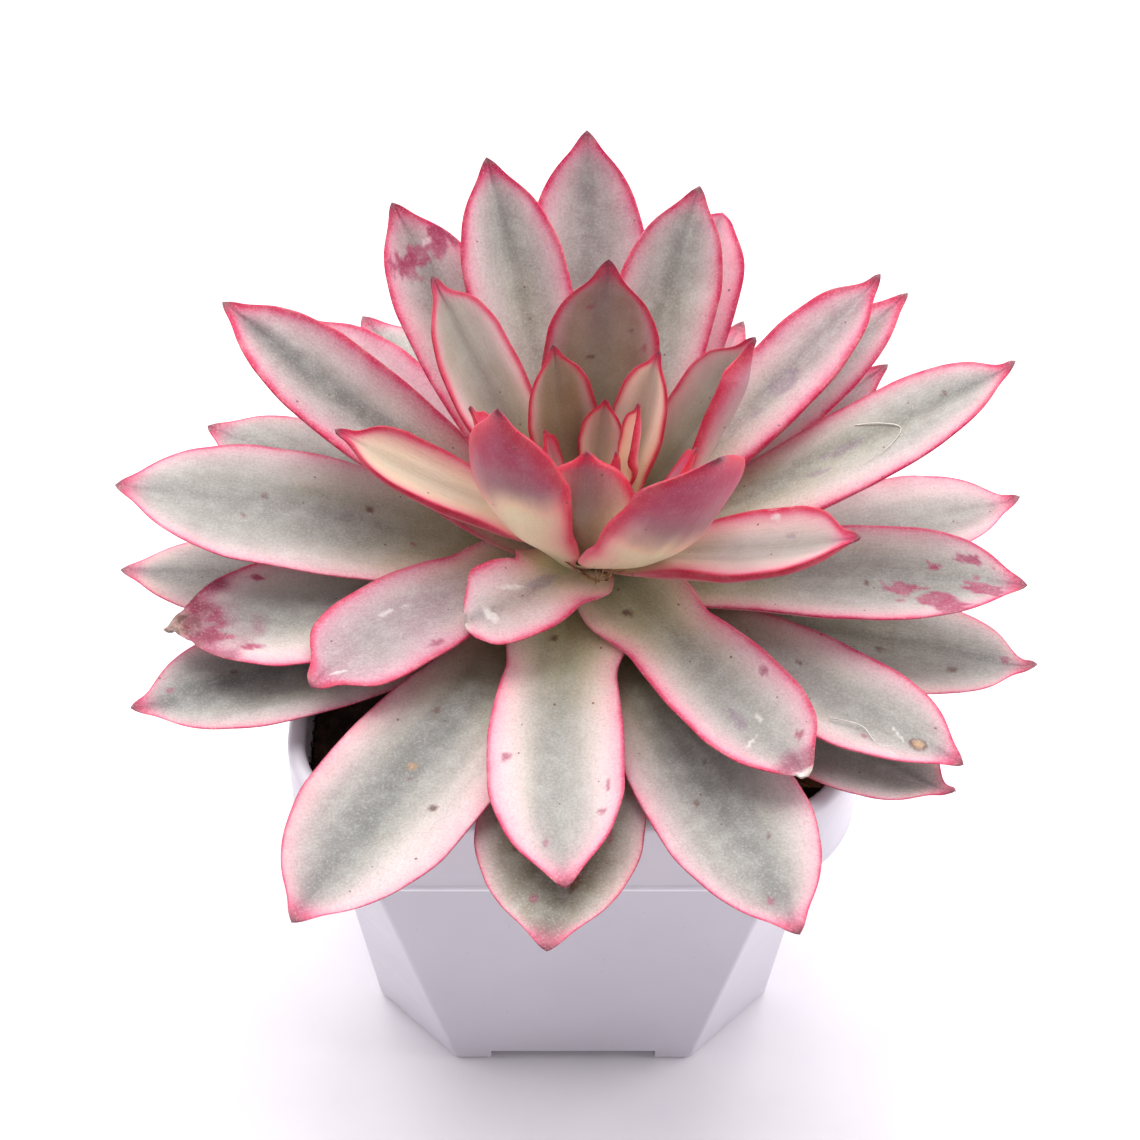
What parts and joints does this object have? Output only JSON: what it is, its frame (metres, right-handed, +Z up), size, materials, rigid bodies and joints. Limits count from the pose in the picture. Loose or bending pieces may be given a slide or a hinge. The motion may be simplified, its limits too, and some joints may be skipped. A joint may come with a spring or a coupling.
{
  "type": "potted succulent plant",
  "caption": "Succulent rosette of thick pointed leaves on a short stem, rooted in soil in a square plastic nursery pot with an overhanging rim and drain holes.",
  "frame": {"origin": "on the ground, under the centre of the whole plant's outline; the pot's own centre is 0.5 mm towards +X and 7.3 mm towards +Y of it", "axes": "+Z up; -Y towards the front of the plant, where its leaves reach furthest past the pot; +X to the right seen from the front, along the longest extent"},
  "size_m": [0.165, 0.1402, 0.1538],
  "materials": {
    "pot": "satin white polypropylene",
    "soil": "coarse damp potting mix",
    "stem": "matte, scarred",
    "outer_leaf": "matte waxy bloom over grey-green, with cream and pink margins and a crimson edge",
    "inner_leaf": "matte waxy bloom over pink and peach, with a crimson edge",
    "heart_leaf": "matte waxy bloom over orange-red",
    "dry_leaf": "dry and papery"
  },
  "bodies": {
    "root": {"pot": "pot", "soil": "soil", "stem": "stem", "lower_leaf_front": "outer_leaf", "lower_leaf_front_right": "outer_leaf", "lower_leaf_right_front": "outer_leaf", "lower_leaf_right": "outer_leaf", "lower_leaf_right_rear": "outer_leaf", "lower_leaf_rear_right": "outer_leaf", "lower_leaf_rear_inner": "outer_leaf", "lower_leaf_rear_left": "outer_leaf", "lower_leaf_left_rear": "outer_leaf", "lower_leaf_left": "outer_leaf", "lower_leaf_left_front": "outer_leaf", "lower_leaf_front_left": "outer_leaf", "middle_leaf_front": "outer_leaf", "middle_leaf_front_right": "outer_leaf", "middle_leaf_right": "outer_leaf", "middle_leaf_right_rear": "outer_leaf", "middle_leaf_rear_right": "outer_leaf", "middle_leaf_rear": "outer_leaf", "middle_leaf_rear_left": "outer_leaf", "middle_leaf_left_rear": "outer_leaf", "middle_leaf_left": "outer_leaf", "middle_leaf_left_front": "outer_leaf", "upper_leaf_front_right": "outer_leaf", "upper_leaf_right": "outer_leaf", "upper_leaf_right_rear": "outer_leaf", "upper_leaf_rear_right": "outer_leaf", "upper_leaf_rear_left": "outer_leaf", "upper_leaf_left_rear": "outer_leaf", "upper_leaf_left_front": "outer_leaf", "upper_leaf_front_short": "outer_leaf", "inner_leaf_left": "inner_leaf", "inner_leaf_rear_left": "inner_leaf", "inner_leaf_rear": "inner_leaf", "inner_leaf_rear_right": "inner_leaf", "inner_leaf_right": "inner_leaf", "inner_leaf_front_right": "inner_leaf", "inner_leaf_front_left": "inner_leaf", "heart_leaf_1": "heart_leaf", "heart_leaf_2": "heart_leaf", "heart_leaf_3": "heart_leaf", "heart_leaf_4": "heart_leaf", "heart_leaf_5": "heart_leaf", "heart_leaf_6": "heart_leaf", "heart_leaf_7": "heart_leaf", "heart_leaf_8": "heart_leaf", "heart_leaf_9": "heart_leaf", "dry_leaf": "dry_leaf"}
  },
  "joints": []
}
